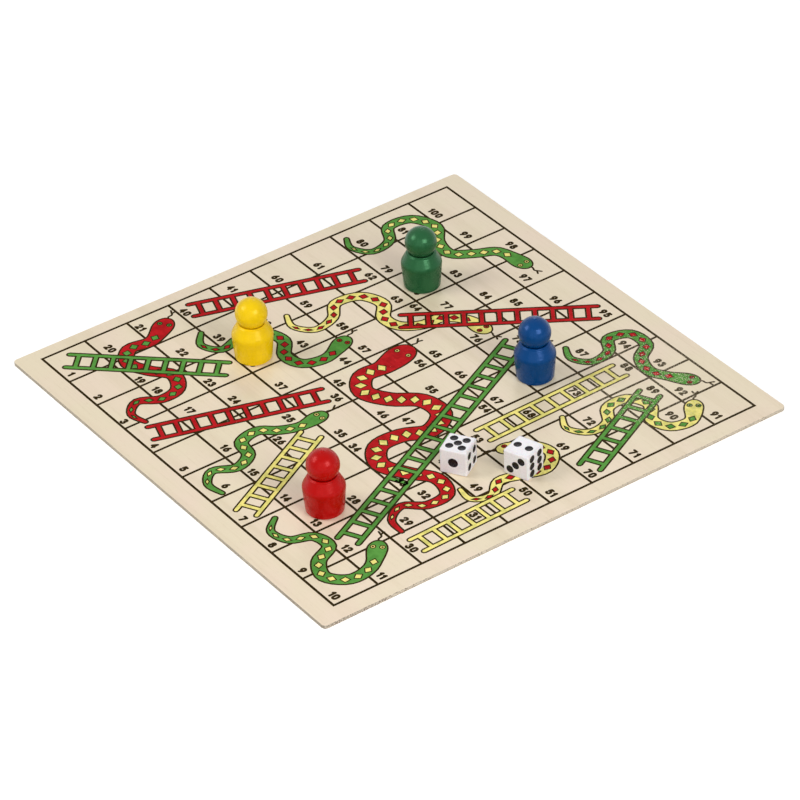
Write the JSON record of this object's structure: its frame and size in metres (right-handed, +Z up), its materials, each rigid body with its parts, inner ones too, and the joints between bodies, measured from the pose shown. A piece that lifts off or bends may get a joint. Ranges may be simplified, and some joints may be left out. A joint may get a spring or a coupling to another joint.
{
  "type": "snakes and ladders board",
  "caption": "Thin printed plywood snakes and ladders board with turned, painted pawns and a pair of spotted dice that lift off it.",
  "frame": {"origin": "on the underside of the board, at the middle of its outline", "axes": "+Z up through the board, +X along the first row of squares from 1 to 10, +Y up the board from the first row to the last"},
  "size_m": [0.2304, 0.2356, 0.0314],
  "materials": {
    "face_ply": "pale sanded veneer with a thin clear coat",
    "core_ply": "cut plywood edge, bare",
    "black_ink": "screen-printed ink, satin",
    "green_ink": "screen-printed ink, satin",
    "red_ink": "screen-printed ink, satin",
    "yellow_ink": "screen-printed ink, satin",
    "yellow_paint": "turned wood under gloss paint",
    "green_paint": "turned wood under gloss paint",
    "red_paint": "turned wood under gloss paint",
    "blue_paint": "turned wood under gloss paint",
    "dice_plastic": "polished white plastic",
    "pip_paint": "black paint in drilled hollows"
  },
  "bodies": {
    "board": {"board_back_ply": "face_ply", "board_core_ply": "core_ply", "board_face_ply": "face_ply", "print_grid_lines": "black_ink", "print_ladder_outlines": "black_ink", "print_ladders_green": "green_ink", "print_ladders_red": "red_ink", "print_ladders_yellow": "yellow_ink", "print_snake_outlines": "black_ink", "print_snakes_green": "green_ink", "print_snakes_red": "red_ink", "print_snakes_yellow": "yellow_ink", "print_marking_outlines": "black_ink", "print_markings_green": "green_ink", "print_markings_red": "red_ink", "print_markings_yellow": "yellow_ink"},
    "yellow_pawn": {"pawn_yellow": "yellow_paint"},
    "green_pawn": {"pawn_green": "green_paint"},
    "red_pawn": {"pawn_red": "red_paint"},
    "blue_pawn": {"pawn_blue": "blue_paint"},
    "left_die": {"die_left": "dice_plastic", "die_left_pips": "pip_paint"},
    "right_die": {"die_right": "dice_plastic", "die_right_pips": "pip_paint"}
  },
  "joints": [
    {"name": "yellow_pawn_lift", "type": "slide", "parent": "board", "child": "yellow_pawn", "axis": [0, 0, 1], "range_m": [0, 0.06]},
    {"name": "green_pawn_lift", "type": "slide", "parent": "board", "child": "green_pawn", "axis": [0, 0, 1], "range_m": [0, 0.06]},
    {"name": "red_pawn_lift", "type": "slide", "parent": "board", "child": "red_pawn", "axis": [0, 0, 1], "range_m": [0, 0.06]},
    {"name": "blue_pawn_lift", "type": "slide", "parent": "board", "child": "blue_pawn", "axis": [0, 0, 1], "range_m": [0, 0.06]},
    {"name": "left_die_lift", "type": "slide", "parent": "board", "child": "left_die", "axis": [0, 0, 1], "range_m": [0, 0.06]},
    {"name": "right_die_lift", "type": "slide", "parent": "board", "child": "right_die", "axis": [0, 0, 1], "range_m": [0, 0.06]}
  ]
}
